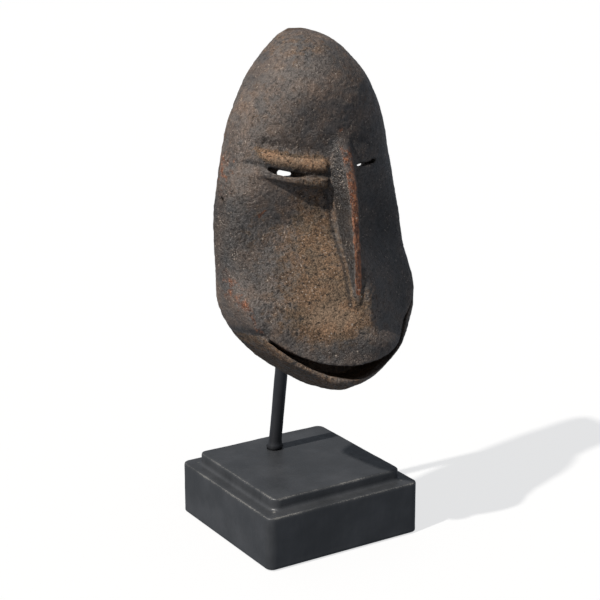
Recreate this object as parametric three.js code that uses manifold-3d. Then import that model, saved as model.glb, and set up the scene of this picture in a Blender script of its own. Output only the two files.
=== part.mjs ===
import * as THREE from "three";
import { mergeVertices } from "three/addons/utils/BufferGeometryUtils.js";
import Module from "manifold-3d";

const wasm = await Module();
wasm.setup();

// Driving dimensions, in millimetres and degrees.
// The base stands on Z = 0, centred on the origin, and the mask faces -Y.

const base = {
  side: 100,
  plinthHeight: 31,
  height: 38,
  stepInset: 7.5,
  cornerRadius: 3.5,
  edgeRound: 1.2,
  holeDepth: 22,
};

const rod = {
  diameter: 7.5,
  footX: -1.5,
  footY: 24,
  leanForward: 9,
  bendHeight: 183,
  bendRadius: 20,
  bendAngle: 71,
  tipLength: 23.5,
  collarDiameter: 12.5,
  collarHeight: 3.5,
  sides: 12,
  steps: 40,
};

// Clearance left where one piece sits in another.
const fit = 0.3;

// The mask in its own frame: x across, z up along the plane of its rim, -y out of the face.
// Each row of values runs evenly spaced from the chin to the crown.
const mask = {
  chin: new THREE.Vector3(-1.5, -18, 90.5),
  leanBack: 6.5,
  length: 196,
  wall: 9,
  chinWall: 18,
  rimBevel: 1.6,
  rimFlare: 1.5,
  halfWidths: [27, 47, 58, 58, 57, 52.5, 47, 39, 29.5],
  depths: [75, 52.5, 46, 38.5, 37, 38, 42.5, 43.5],
  fullness: [2.5, 3.4, 2.35, 2, 2.15, 2.5, 2.5],
  columns: 44,
  hollowColumns: 26,
};

// Planes: both cheeks run flat from an upright edge beside the nose out to the rim, and the
// edge stands above the rounded face. Above and below, the planes fade into the rounded form,
// and the one on the viewer's right runs out of the face at its foot, above the mouth.
const planes = {
  edge: 6,
  rise: 7.4,
  reach: 0.93,
  soft: 3,
  low: [10, 34],
  high: [92, 124],
  edgeHigh: [68, 94],
  footOut: 13,
  foot: [20, 38],
  narrowest: 4,
};

// Eyes: each slit climbs outwards from the nose by the square of x, between a raised upper and
// lower lid, and the one on the viewer's right sits higher and flatter. It goes through the
// wall only in the stretch from one open value to the other, and is blind on both sides of it.
// The floor is the slit's height where it comes out in the hollow.
const eye = {
  height: 117.9,
  curve: 0.0052,
  curveEnd: 44,
  rightRise: 4.1,
  rightCurve: 0.0022,
  blindDepth: 4.5,
  leftOpen: [17, 29],
  rightOpen: [14.5, 23],
  leftFloor: 120.4,
  rightFloor: 120.9,
};

// Half the height of each slit, at places out from the nose.
const leftSlit = [
  { place: 13, half: 0.2 },
  { place: 17, half: 0.9 },
  { place: 21, half: 1.5 },
  { place: 25, half: 1.5 },
  { place: 29, half: 1.3 },
  { place: 33, half: 1.2 },
  { place: 35.5, half: 1.1 },
  { place: 37.5, half: 0.35 },
  { place: 43, half: 0.2 },
];
const rightSlit = [
  { place: 12, half: 0.5 },
  { place: 15, half: 0.7 },
  { place: 18, half: 0.65 },
  { place: 20.5, half: 0.4 },
  { place: 23, half: 0.4 },
  { place: 25.5, half: 1.1 },
  { place: 28, half: 0.4 },
  { place: 34, half: 0.4 },
  { place: 41, half: 0.2 },
];

// Lids and brow line: how far each stands out or is sunk, and how far above or below
// the slit it runs. They start beside the nose and die out towards the temple, where the
// lower lid is thinner too. On the viewer's right they have only a share of that height.
const lids = {
  startFrom: 3,
  startTo: 10,
  endFrom: 34,
  endTo: 48,
  rightShare: 0.15,
  brow: { above: 13, out: -1.2, spread: 3.6 },
  upper: { above: 6, out: 2.4, spread: 4 },
  lower: { above: -5.2, out: 3.7, edge: 1.2, thinFrom: 14, thinTo: 38, thinShare: 0.62 },
};

// Levels of the face across the eyes, measured from the slit.
const eyeLevels = [-17, -13, -10, -7.5, -6, -4.4, -2.4, -0.6, 1, 3.5, 6, 8.5, 11, 13, 15, 18];

// Levels between these heights climb with the slits instead of lying flat.
const climbing = { from: 84, full: 104, fading: 142, to: 162 };

// Cheeks: sunk below the lids, deepest beside the nose.
const cheek = { sunk: 1.3, deepTo: 12, endAt: 42, low: 62, high: 100 };

// Mouth: a crescent pocket between the upper lip and the lower lip.
const mouth = {
  corner: 48.5,
  cornerHeight: 40.5,
  cornerGap: 1.8,
  rightRise: 0.1,
  upperLip: 18.7,
  upperCurve: 2.3,
  lowerLip: 10,
  lowerCurve: 1.8,
  depthAtCorner: 7,
  depthAtMiddle: 22,
};

// Lower lip: it swells out below the mouth, less on the viewer's right.
const lip = { swell: 14, above: 2, below: 9, low: 0.5, full: 4, rightShare: 0.25, fade: [-20, 6] };

// Nose: a long ridge from its root between the brows down to a rounded end. Each station has
// the ridge's depth, half the width of the foot and of the crest, and where its middle is.
const noseStations = [
  { height: 141, ridge: 37.2, foot: 5, crest: 3.6, middle: 3.2 },
  { height: 132, ridge: 41, foot: 7, crest: 3.4, middle: 3.1 },
  { height: 123, ridge: 45, foot: 8, crest: 3.2, middle: 2.8 },
  { height: 112, ridge: 48, foot: 7.2, crest: 2.9, middle: 2.2 },
  { height: 98, ridge: 49.6, foot: 4.8, crest: 2.4, middle: 1.9 },
  { height: 86, ridge: 50.3, foot: 3.5, crest: 2.3, middle: 1.4 },
  { height: 74, ridge: 50.9, foot: 3.4, crest: 2.3, middle: 1 },
  { height: 56, ridge: 51.4, foot: 3.2, crest: 2.3, middle: 0.2 },
  { height: 50.5, ridge: 50.9, foot: 3, crest: 2, middle: 0 },
  { height: 47.4, ridge: 48, foot: 2, crest: 1.2, middle: 0 },
];
const noseRoot = 6;

// One small cord hole through the rim at each temple.
const cordHole = { diameter: 2.6, height: 110, out: 7.5 };

// Slivers shorter than this, left by the cuts, are closed up.
const seamTolerance = 0.02;

const { degToRad, smoothstep, lerp } = THREE.MathUtils;

function bell(distance, width) {
  return Math.exp(-((distance / width) ** 2));
}

// Solids and meshes

function solidOf(geometry) {
  const plain = geometry.clone();
  plain.deleteAttribute("normal");
  plain.deleteAttribute("uv");
  const merged = mergeVertices(plain, 1e-4);
  const corners = merged.index.array;
  const kept = [];
  for (let i = 0; i < corners.length; i += 3) {
    const [a, b, c] = [corners[i], corners[i + 1], corners[i + 2]];
    if (a !== b && b !== c && c !== a) {
      kept.push(a, b, c);
    }
  }
  const mesh = new wasm.Mesh({
    numProp: 3,
    vertProperties: new Float32Array(merged.attributes.position.array),
    triVerts: new Uint32Array(kept),
  });
  return new wasm.Manifold(mesh);
}

function pieceOf(solid, name, look) {
  const cut = solid.simplify(seamTolerance).getMesh();
  const geometry = new THREE.BufferGeometry();
  geometry.setAttribute("position", new THREE.BufferAttribute(new Float32Array(cut.vertProperties), 3));
  geometry.setIndex(new THREE.BufferAttribute(new Uint32Array(cut.triVerts), 1));
  geometry.computeVertexNormals();
  const mesh = new THREE.Mesh(geometry, new THREE.MeshStandardMaterial(look));
  mesh.name = name;
  return mesh;
}

// A closed skin through loops with the same number of points, with a fan over each end.
function loft(loops) {
  const count = loops[0].length;
  const points = loops.flat();
  const index = [];
  for (let row = 0; row < loops.length - 1; row++) {
    for (let k = 0; k < count; k++) {
      const here = row * count + k;
      const next = row * count + ((k + 1) % count);
      index.push(here, next, next + count, here, next + count, here + count);
    }
  }
  const lastRow = (loops.length - 1) * count;
  for (const [loop, start, isLast] of [[loops[0], 0, false], [loops.at(-1), lastRow, true]]) {
    const middle = new THREE.Vector3();
    loop.forEach((point) => middle.addScaledVector(point, 1 / count));
    const centre = points.push(middle) - 1;
    for (let k = 0; k < count; k++) {
      const here = start + k;
      const next = start + ((k + 1) % count);
      index.push(centre, isLast ? here : next, isLast ? next : here);
    }
  }
  const geometry = new THREE.BufferGeometry().setFromPoints(points);
  geometry.setIndex(index);
  return solidOf(geometry);
}

// Base

function roundedSquare(side, radius) {
  const inner = side / 2 - radius;
  const shape = new THREE.Shape();
  shape.absarc(inner, inner, radius, 0, 0.5 * Math.PI);
  shape.absarc(-inner, inner, radius, 0.5 * Math.PI, Math.PI);
  shape.absarc(-inner, -inner, radius, Math.PI, 1.5 * Math.PI);
  shape.absarc(inner, -inner, radius, 1.5 * Math.PI, 2 * Math.PI);
  return shape;
}

function slab(side, bottom, top) {
  const edge = base.edgeRound;
  const geometry = new THREE.ExtrudeGeometry(roundedSquare(side, base.cornerRadius), {
    depth: top - bottom - 2 * edge,
    bevelSize: edge,
    bevelOffset: -edge,
    bevelThickness: edge,
    bevelSegments: 2,
    curveSegments: 4,
  });
  geometry.translate(0, 0, bottom + edge);
  return solidOf(geometry);
}

function rodHole() {
  const length = base.holeDepth + base.height;
  const radius = rod.diameter / 2 + fit;
  const geometry = new THREE.CylinderGeometry(radius, radius, length, rod.sides);
  geometry.rotateX(0.5 * Math.PI);
  geometry.translate(0, 0, 0.5 * length - base.holeDepth);
  geometry.rotateX(degToRad(rod.leanForward));
  geometry.translate(rod.footX, rod.footY, base.height);
  return solidOf(geometry);
}

function standBase() {
  const stepBottom = base.plinthHeight - 5;
  const plinth = slab(base.side, 0, base.plinthHeight);
  const step = slab(base.side - 2 * base.stepInset, stepBottom, base.height);
  const block = plinth.add(step).subtract(rodHole());
  return pieceOf(block, "stand_base", { color: 0x25282c, roughness: 0.5, metalness: 0 });
}

// Rod: straight from its hole in the base, then bent forward to its seat behind the nose.

const acrossRod = new THREE.Vector3(1, 0, 0);
const rodLean = new THREE.Quaternion().setFromAxisAngle(acrossRod, degToRad(rod.leanForward));
const rodUp = new THREE.Vector3(0, 0, 1).applyQuaternion(rodLean);
const rodForward = new THREE.Vector3(0, -1, 0).applyQuaternion(rodLean);
const rodFoot = new THREE.Vector3(rod.footX, rod.footY, base.height);

function rodPoint(along, forward) {
  return rodFoot.clone().addScaledVector(rodUp, along).addScaledVector(rodForward, forward);
}

function rodRoute() {
  const bend = degToRad(rod.bendAngle);
  const straight = (rod.bendHeight - base.height) / Math.cos(degToRad(rod.leanForward));
  const corner = rod.bendRadius * Math.tan(0.5 * bend);
  const endAlong = straight + rod.bendRadius * Math.sin(bend);
  const endForward = rod.bendRadius * (1 - Math.cos(bend));
  return {
    bottom: rodPoint(fit - base.holeDepth, 0),
    bendStart: rodPoint(straight, 0),
    bendCorner: rodPoint(straight + corner, 0),
    bendEnd: rodPoint(endAlong, endForward),
    tip: rodPoint(endAlong + rod.tipLength * Math.cos(bend), endForward + rod.tipLength * Math.sin(bend)),
  };
}

function standRod() {
  const route = rodRoute();
  const path = new THREE.CurvePath();
  path.add(new THREE.LineCurve3(route.bottom, route.bendStart));
  path.add(new THREE.QuadraticBezierCurve3(route.bendStart, route.bendCorner, route.bendEnd));
  path.add(new THREE.LineCurve3(route.bendEnd, route.tip));
  const section = new THREE.Shape().absarc(0, 0, rod.diameter / 2, 0, 2 * Math.PI);
  const shank = new THREE.ExtrudeGeometry(section, {
    extrudePath: path,
    steps: rod.steps,
    curveSegments: rod.sides / 2,
  });
  const collar = new THREE.CylinderGeometry(
    rod.diameter / 2,
    rod.collarDiameter / 2,
    rod.collarHeight,
    rod.sides,
  );
  collar.rotateX(0.5 * Math.PI);
  collar.translate(rod.footX, rod.footY, base.height + fit + rod.collarHeight / 2);
  const solid = solidOf(shank).add(solidOf(collar));
  return pieceOf(solid, "stand_rod", { color: 0x1b1d20, roughness: 0.5, metalness: 0.2 });
}

// Mask: smooth rows of half width, depth and fullness shape every level of the face.

function rowAt(values, share) {
  const curve = new THREE.SplineCurve(values.map((value, i) => new THREE.Vector2(i, value)));
  return curve.getPoint(share).y;
}

// Rounds a width or depth off to nothing at the chin and the crown.
function rounding(share, power) {
  return Math.sqrt(Math.max(0, 1 - Math.abs(2 * share - 1) ** power));
}

function levelOf(height) {
  const share = height / mask.length;
  return {
    halfWidth: rowAt(mask.halfWidths, share) * rounding(share, 4),
    depth: rowAt(mask.depths, share) * rounding(share, 6),
    fullness: rowAt(mask.fullness, share),
  };
}

function smoothMin(a, b, soft) {
  return 0.5 * (a + b - Math.hypot(a - b, soft));
}

// How far one level stands out at x: rounded, and planed flat on both cheeks.
function frontDepth(level, x, height) {
  const { halfWidth, depth, fullness } = level;
  const across = Math.min(1, Math.abs(x) / halfWidth);
  const rounded = depth * (1 - across ** fullness) ** (1 / fullness);
  const edge = 1 - smoothstep(height, ...planes.edgeHigh);
  const edgeX = planes.edge * edge;
  const edgeDepth = depth + planes.rise * edge;
  const rimX = planes.reach * halfWidth;
  const rimDepth = depth * (1 - planes.reach ** fullness) ** (1 / fullness);
  const rightWidth = Math.max(planes.narrowest, rimX - edgeX);
  const footOut = planes.footOut * (1 - smoothstep(height, ...planes.foot));
  const left = lerp(rimDepth, edgeDepth, (rimX + x) / (rimX + edgeX));
  const right = lerp(rimDepth, edgeDepth, (rimX - x) / rightWidth) + footOut;
  const raised = rounded + planes.rise * edge * (1 - across ** 4);
  const planed = smoothMin(raised, Math.min(left, right), planes.soft);
  const flat = smoothstep(height, ...planes.low) * (1 - smoothstep(height, ...planes.high));
  return lerp(rounded, planed, flat * (1 - across ** 8));
}

// How far the face stands out at a place on it, before its carving.
function faceDepth(x, height) {
  return frontDepth(levelOf(height), x, height);
}

function slitHeight(x) {
  const climb = (x < 0 ? eye.curve : eye.rightCurve) * Math.min(Math.abs(x), eye.curveEnd) ** 2;
  return eye.height + climb + eye.rightRise * smoothstep(x, 0, 12);
}

// Height of the mouth's upper and lower edge.
function mouthTop(x) {
  const reach = Math.min(1, Math.abs(x) / mouth.corner) ** mouth.upperCurve;
  return mouth.rightRise * Math.max(0, x) + lerp(mouth.upperLip, mouth.cornerHeight, reach);
}

function mouthBottom(x) {
  const reach = Math.min(1, Math.abs(x) / mouth.corner) ** mouth.lowerCurve;
  return mouth.rightRise * Math.max(0, x) + lerp(mouth.lowerLip, mouth.cornerHeight - mouth.cornerGap, reach);
}

// Carving that stands out of the face or is sunk into it.

function eyeRelief(x, aboveSlit) {
  const { brow, upper, lower } = lids;
  const side = Math.abs(x);
  const started = smoothstep(side, lids.startFrom, lids.startTo);
  const reach = started * (1 - smoothstep(side, lids.endFrom, lids.endTo));
  const share = lerp(1, lids.rightShare, smoothstep(x, -lids.startFrom, lids.startFrom));
  const ledgeTop = 1 - smoothstep(aboveSlit, -lower.edge, lower.edge);
  const ledgeFoot = smoothstep(aboveSlit, lower.above - lower.edge, lower.above + lower.edge);
  const thick = lerp(1, lower.thinShare, smoothstep(side, lower.thinFrom, lower.thinTo));
  const round = [brow, upper].map((band) => band.out * bell(aboveSlit - band.above, band.spread));
  return reach * share * (round[0] + round[1] + lower.out * ledgeTop * ledgeFoot * thick);
}

function cheekRelief(side, height, aboveSlit) {
  const underLid = 1 - smoothstep(aboveSlit, lids.lower.above - 1.4, lids.lower.above);
  const besideNose = 1 - smoothstep(side, cheek.deepTo, cheek.endAt);
  return -cheek.sunk * besideNose * underLid * smoothstep(height, cheek.low, cheek.high);
}

function lipRelief(x, height) {
  const underMouth = smoothstep(mouthBottom(x) - height, -lip.above, lip.below);
  const share = lerp(1, lip.rightShare, smoothstep(x, ...lip.fade));
  return lip.swell * share * underMouth * smoothstep(height, lip.low, lip.full);
}

function relief(x, height) {
  const aboveSlit = height - slitHeight(x);
  return eyeRelief(x, aboveSlit) + cheekRelief(Math.abs(x), height, aboveSlit) + lipRelief(x, height);
}

// Points along the front of one level, evenly spaced from the viewer's left to the right.
function frontOf(level, columns) {
  const fine = 120;
  const arc = [];
  for (let k = 0; k <= fine; k++) {
    const angle = (Math.PI * k) / fine;
    const across = Math.abs(Math.cos(angle)) ** (2 / level.fullness);
    const x = -Math.sign(Math.cos(angle)) * level.halfWidth * across;
    arc.push(new THREE.Vector2(x, level.depth * Math.sin(angle) ** (2 / level.fullness)));
  }
  return new THREE.SplineCurve(arc).getSpacedPoints(columns);
}

// One level of the face. Near the eyes it climbs with the slits instead of lying flat.
function faceLoop(height) {
  const level = levelOf(height);
  const { from, full, fading, to } = climbing;
  const nearEyes = smoothstep(height, from, full) * (1 - smoothstep(height, fading, to));
  const front = frontOf(level, mask.columns).map((point) => {
    const across = Math.min(1, Math.abs(point.x) / level.halfWidth);
    const climbed = height + nearEyes * (slitHeight(point.x) - eye.height);
    const here = levelOf(climbed);
    const bevel = Math.min(mask.rimBevel, 0.3 * here.halfWidth);
    const x = Math.sign(point.x) * across * here.halfWidth;
    const out = bevel + (1 - bevel / here.depth) * frontDepth(here, x, climbed);
    const lift = relief(x, climbed) * smoothstep(out / here.depth, 0.1, 0.5);
    return new THREE.Vector3(x, -out - lift, climbed);
  });
  const rim = [front[0], front.at(-1)].map((point) => {
    const inset = Math.sign(point.x) * Math.min(mask.rimBevel, 0.3 * Math.abs(point.x));
    return new THREE.Vector3(point.x - inset, 0, point.z);
  });
  return [rim[0], ...front, rim[1]];
}

// Levels are close together at the rounded ends and across the eyes.
function faceLevels() {
  const rounds = 34;
  const eyesFrom = eye.height + eyeLevels[0];
  const eyesTo = eye.height + eyeLevels.at(-1);
  const heights = eyeLevels.map((offset) => eye.height + offset);
  for (let k = 0; k <= rounds; k++) {
    const height = lerp(0.3, mask.length - 0.3, 0.5 - 0.5 * Math.cos((Math.PI * k) / rounds));
    if (height < eyesFrom - 3 || height > eyesTo + 3) {
      heights.push(height);
    }
  }
  return heights.sort((a, b) => a - b);
}

// The inside of the mask, open at the back and a little wider there.
function hollow() {
  const behind = 6;
  const flare = mask.rimFlare;
  const rounds = 24;
  const endGap = 0.35;
  const loops = [];
  for (let k = 0; k <= rounds; k++) {
    const share = 0.5 - 0.5 * Math.cos((Math.PI * (k + endGap)) / (rounds + 2 * endGap));
    const height = lerp(mask.chinWall, mask.length - mask.wall, share);
    const outside = height / mask.length;
    const level = {
      halfWidth: (rowAt(mask.halfWidths, outside) - mask.wall) * rounding(share, 4),
      depth: (rowAt(mask.depths, outside) - mask.wall) * rounding(share, 6),
      fullness: rowAt(mask.fullness, outside),
    };
    const inside = frontOf(level, mask.hollowColumns).map(({ x }) => {
      const out = lerp(flare, level.depth, frontDepth(level, x, height) / level.depth);
      return new THREE.Vector3(x, -out, height);
    });
    const left = new THREE.Vector3(-level.halfWidth - flare, behind, height);
    const right = new THREE.Vector3(level.halfWidth + flare, behind, height);
    loops.push([left, ...inside, right]);
  }
  return loft(loops);
}

// The stations are joined smoothly, with a few more loops between them.
function noseLoops() {
  const stops = 2 * (noseStations.length - 1);
  const loops = [];
  for (let k = stops; k >= 0; k--) {
    const station = {};
    for (const key of Object.keys(noseStations[0])) {
      station[key] = rowAt(noseStations.map((values) => values[key]), k / stops);
    }
    loops.push(noseLoop(station));
  }
  return loops;
}

// Across the nose: steep flanks rising from inside the face to a narrow rounded ridge.
function noseLoop({ height, ridge, foot, crest, middle }) {
  const skin = faceDepth(middle, height) + relief(middle, height);
  const flank = [
    [foot + 1.2, skin - noseRoot],
    [foot, Math.min(skin, ridge) - 0.5],
    [crest, ridge - 1],
    [0.4 * crest, ridge],
  ];
  const left = flank.map(([x, out]) => new THREE.Vector3(middle - x, -out, height));
  const right = flank.map(([x, out]) => new THREE.Vector3(middle + x, -out, height));
  return [...left, ...right.reverse()];
}

// A cutter for one eye, side -1 for the viewer's left and 1 for the right.
// It goes through the wall only in the open stretch, where its floor runs level inside.
function eyeSlit(side, slit, [from, to], level) {
  const stops = 20;
  const ahead = 8;
  const { wall } = mask;
  const loops = [];
  for (let k = 0; k <= stops; k++) {
    const place = rowAt(slit.map((values) => values.place), k / stops);
    const half = rowAt(slit.map((values) => values.half), k / stops);
    const x = side * place;
    const height = slitHeight(x);
    const skin = faceDepth(x, height);
    const open = smoothstep(place, from - 1, from) * (1 - smoothstep(place, to, to + 1));
    const inside = skin - lerp(eye.blindDepth, 2 * wall, open);
    const front = height - half;
    const past = level + ((level - front) * wall) / (wall + ahead);
    const floor = lerp(height - 1.2 * half, past, open);
    loops.push([
      new THREE.Vector3(x, -inside, floor),
      new THREE.Vector3(x, -inside, height + half),
      new THREE.Vector3(x, -skin - ahead, height + half),
      new THREE.Vector3(x, -skin - ahead, front),
    ]);
  }
  return loft(side < 0 ? loops.reverse() : loops);
}

function mouthCrescent() {
  const stops = 28;
  const loops = [];
  for (let k = 0; k <= stops; k++) {
    const share = Math.sin(0.5 * Math.PI * lerp(-0.99, 0.99, k / stops));
    const x = mouth.corner * share;
    const [top, bottom] = [mouthTop(x), mouthBottom(x)];
    const out = faceDepth(x, 0.5 * (top + bottom));
    const inside = out - lerp(mouth.depthAtMiddle, mouth.depthAtCorner, Math.abs(share) ** 3);
    loops.push([
      new THREE.Vector3(x, -inside, bottom),
      new THREE.Vector3(x, -inside, top),
      new THREE.Vector3(x, -out - 15, top),
      new THREE.Vector3(x, -out - 15, bottom),
    ]);
  }
  return loft(loops);
}

function cordHoles() {
  const radius = cordHole.diameter / 2;
  const geometry = new THREE.CylinderGeometry(radius, radius, 3 * mask.halfWidths[3], 8);
  geometry.rotateZ(0.5 * Math.PI);
  geometry.translate(0, -cordHole.out, cordHole.height);
  return solidOf(geometry);
}

// The seat of the rod's tip in the thick wood behind the nose, in the mask's own frame.
function rodSeat(place) {
  const route = rodRoute();
  const along = route.tip.clone().sub(route.bendEnd).normalize();
  const radius = rod.diameter / 2 + fit;
  const geometry = new THREE.CylinderGeometry(radius, radius, rod.tipLength, 2 * rod.sides);
  geometry.translate(0, -0.5 * rod.tipLength, 0);
  geometry.applyQuaternion(new THREE.Quaternion().setFromUnitVectors(new THREE.Vector3(0, 1, 0), along));
  const end = route.tip.clone().addScaledVector(along, fit);
  geometry.translate(end.x, end.y, end.z);
  geometry.applyMatrix4(place.clone().invert());
  return solidOf(geometry);
}

function carvedMask() {
  const holder = new THREE.Group();
  holder.position.copy(mask.chin);
  holder.rotation.x = -degToRad(mask.leanBack);
  holder.updateMatrixWorld();
  const solid = loft(faceLevels().map(faceLoop))
    .add(loft(noseLoops()))
    .subtract(hollow())
    .subtract(mouthCrescent())
    .subtract(eyeSlit(-1, leftSlit, eye.leftOpen, eye.leftFloor))
    .subtract(eyeSlit(1, rightSlit, eye.rightOpen, eye.rightFloor))
    .subtract(cordHoles())
    .subtract(rodSeat(holder.matrixWorld));
  holder.add(pieceOf(solid, "mask", { color: 0x4a3a2e, roughness: 0.8, metalness: 0 }));
  return holder;
}

const work = new THREE.Group();
work.add(standBase(), standRod(), carvedMask());

export default work;
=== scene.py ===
import math

import bmesh
import bpy
import numpy as np
from mathutils import Matrix, Vector, noise


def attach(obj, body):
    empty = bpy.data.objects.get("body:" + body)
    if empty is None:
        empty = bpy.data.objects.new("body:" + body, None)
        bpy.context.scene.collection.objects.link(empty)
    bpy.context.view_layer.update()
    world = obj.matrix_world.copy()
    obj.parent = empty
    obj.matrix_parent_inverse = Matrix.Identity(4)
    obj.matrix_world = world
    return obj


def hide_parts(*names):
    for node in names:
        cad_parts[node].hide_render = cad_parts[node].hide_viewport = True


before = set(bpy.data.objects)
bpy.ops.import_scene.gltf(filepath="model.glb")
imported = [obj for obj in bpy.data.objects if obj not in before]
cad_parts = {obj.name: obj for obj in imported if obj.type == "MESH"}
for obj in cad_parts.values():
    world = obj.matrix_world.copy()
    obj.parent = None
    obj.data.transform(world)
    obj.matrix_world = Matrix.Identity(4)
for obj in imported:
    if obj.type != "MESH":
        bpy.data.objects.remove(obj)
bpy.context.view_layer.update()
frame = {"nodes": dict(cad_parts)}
print("frame loaded:", ", ".join(frame["nodes"]))

mm = 0.001


# camera: the photograph's place, a little above and to the left of the face
cameraSet = {
    "aim": (0.0168, 0.0249, 0.1255),
    "turn": -32.26,
    "pitch": 15.98,
    "distance": 0.9,
    "lens": 92.84,
}


def makeCamera():
    turn = math.radians(cameraSet["turn"])
    pitch = math.radians(cameraSet["pitch"])
    back = Vector((math.sin(turn) * math.cos(pitch), -math.cos(turn) * math.cos(pitch), math.sin(pitch)))
    data = bpy.data.cameras.new("camera")
    data.lens = cameraSet["lens"]
    data.sensor_width = 36
    data.clip_start = 0.01
    data.clip_end = 50
    cam = bpy.data.objects.new("camera", data)
    cam.location = Vector(cameraSet["aim"]) + back * cameraSet["distance"]
    cam.rotation_mode = "QUATERNION"
    cam.rotation_quaternion = (-back).to_track_quat("-Z", "Y")
    bpy.context.scene.collection.objects.link(cam)
    bpy.context.scene.camera = cam


makeCamera()
print("camera placed")


# small helpers

def smoothstep(value, low, high):
    t = np.clip((value - low) / (high - low), 0, 1)
    return t * t * (3 - 2 * t)


def lerp(low, high, share):
    return low + (high - low) * share


def bell(distance, width):
    return np.exp(-((distance / width) ** 2))


def shadeSmooth(mesh):
    for polygon in mesh.polygons:
        polygon.use_smooth = True


def addPiece(name, bm):
    mesh = bpy.data.meshes.new(name)
    bm.to_mesh(mesh)
    bm.free()
    shadeSmooth(mesh)
    piece = bpy.data.objects.new(name, mesh)
    bpy.context.scene.collection.objects.link(piece)
    return piece


# a plain round cutter, turned and then moved to its centre, its sizes in metres
def roundCutter(name, radius, length, turn, centre, segments=32):
    bm = bmesh.new()
    bmesh.ops.create_cone(bm, cap_ends=True, segments=segments, radius1=radius, radius2=radius, depth=length)
    bmesh.ops.rotate(bm, verts=bm.verts, matrix=turn)
    bmesh.ops.translate(bm, verts=bm.verts, vec=centre)
    return addPiece(name, bm)


def applyModifiers(piece):
    graph = bpy.context.evaluated_depsgraph_get()
    made = bpy.data.meshes.new_from_object(piece.evaluated_get(graph))
    old = piece.data
    name = old.name
    piece.modifiers.clear()
    piece.data = made
    bpy.data.meshes.remove(old)
    made.name = name
    made.materials.clear()


def combine(piece, others, operation="DIFFERENCE"):
    for other in others:
        step = piece.modifiers.new("combine", "BOOLEAN")
        step.operation = operation
        step.solver = "MANIFOLD"
        step.object = other
        applyModifiers(piece)
        bpy.data.objects.remove(other, do_unlink=True)


def remesh(piece, voxel):
    modifier = piece.modifiers.new("remesh", "REMESH")
    modifier.mode = "VOXEL"
    modifier.voxel_size = voxel
    modifier.use_smooth_shade = True
    applyModifiers(piece)


def pointsOf(mesh):
    points = np.empty(len(mesh.vertices) * 3)
    mesh.vertices.foreach_get("co", points)
    return points.reshape(-1, 3)


def normalsOf(mesh):
    normals = np.empty(len(mesh.vertices) * 3, dtype=np.float32)
    mesh.vertices.foreach_get("normal", normals)
    return normals.reshape(-1, 3).astype(float)


def setPoints(mesh, points):
    mesh.vertices.foreach_set("co", points.ravel())
    mesh.update()


def paintAttribute(mesh, name, values):
    attribute = mesh.attributes.new(name, "FLOAT", "POINT")
    attribute.data.foreach_set("value", np.clip(values, 0, 1).astype(np.float32))


# noise at many places at once, the places given in millimetres
def noiseAt(places, size, seed, octaves=1):
    offset = Vector((seed * 17.3, seed * -9.1, seed * 5.7))
    if octaves == 1:
        return np.array([noise.noise(Vector(p) / size + offset) for p in places])
    return np.array([noise.fractal(Vector(p) / size + offset, 0.9, 2.1, octaves) for p in places])


# distance to the nearest point of a scattered set
def cellsAt(places, size, seed):
    offset = Vector((seed * 11.9, seed * 7.3, seed * -3.1))
    return np.array([noise.voronoi(Vector(p) / size + offset)[0][0] for p in places])


# mask: the CAD part's own rows of sizes, in millimetres in the mask's own frame,
# where x runs across, height runs up the plane of the rim and depth runs out of the face
maskShape = {
    "chin": (-1.5, -18, 90.5),
    "leanBack": 6.5,
    "length": 196,
    "wall": 9,
    "chinWall": 18,
    "rimBevel": 1.6,
    "rimFlare": 1.5,
    "halfWidths": (27, 47, 58, 58, 57, 52.5, 47, 39, 29.5),
    "depths": (75, 52.5, 46, 38.5, 37, 38, 42.5, 43.5),
    "fullness": (2.5, 3.4, 2.35, 2, 2.15, 2.5, 2.5),
    "columns": 170,
    "rows": 260,
    "firstRow": 0.3,
    "hollowColumns": 70,
    "voxel": 0.68,
    "triangles": 190000,
}

eyeShape = {
    "height": 117.9,
    "curve": 0.0052,  # climb towards the temple, by the square of x
    "curveEnd": 44,
    "rightRise": 4.1,
    "rightCurve": 0.0022,
    "blindDepth": 4.5,
    "leftOpen": (17, 29),
    "rightOpen": (14.5, 23),
    "leftFloor": 120.4,  # height of the slit's floor where it comes out in the hollow
    "rightFloor": 120.9,
}

# half the height of each slit at places out from the nose
leftSlit = (
    (13, 0.2), (17, 0.9), (21, 1.5), (25, 1.5), (29, 1.3), (33, 1.2), (35.5, 1.1), (37.5, 0.35), (43, 0.2)
)
rightSlit = (
    (12, 0.5), (15, 0.7), (18, 0.65), (20.5, 0.4), (23, 0.4), (25.5, 1.1), (28, 0.4), (34, 0.4), (41, 0.2)
)

mouthShape = {
    "corner": 48.5,
    "cornerHeight": 40.5,
    "cornerGap": 1.8,
    "rightRise": 0.1,
    "upperLip": 18.7,
    "upperCurve": 2.3,
    "lowerLip": 10,
    "lowerCurve": 1.8,
    "depthAtCorner": 7,
    "depthAtMiddle": 22,
}

noseStations = (
    # height, ridge depth, half width of the foot, half width of the crest, middle
    (141, 37.2, 5, 3.6, 3.2),
    (132, 41, 7, 3.4, 3.1),
    (123, 45, 8, 3.2, 2.8),
    (112, 48, 7.2, 2.9, 2.2),
    (98, 49.6, 4.8, 2.4, 1.9),
    (86, 50.3, 3.5, 2.3, 1.4),
    (74, 50.9, 3.4, 2.3, 1),
    (56, 51.4, 3.2, 2.3, 0.2),
    (50.5, 50.9, 3, 2, 0),
    (47.4, 48, 2, 1.2, 0),
)


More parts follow.
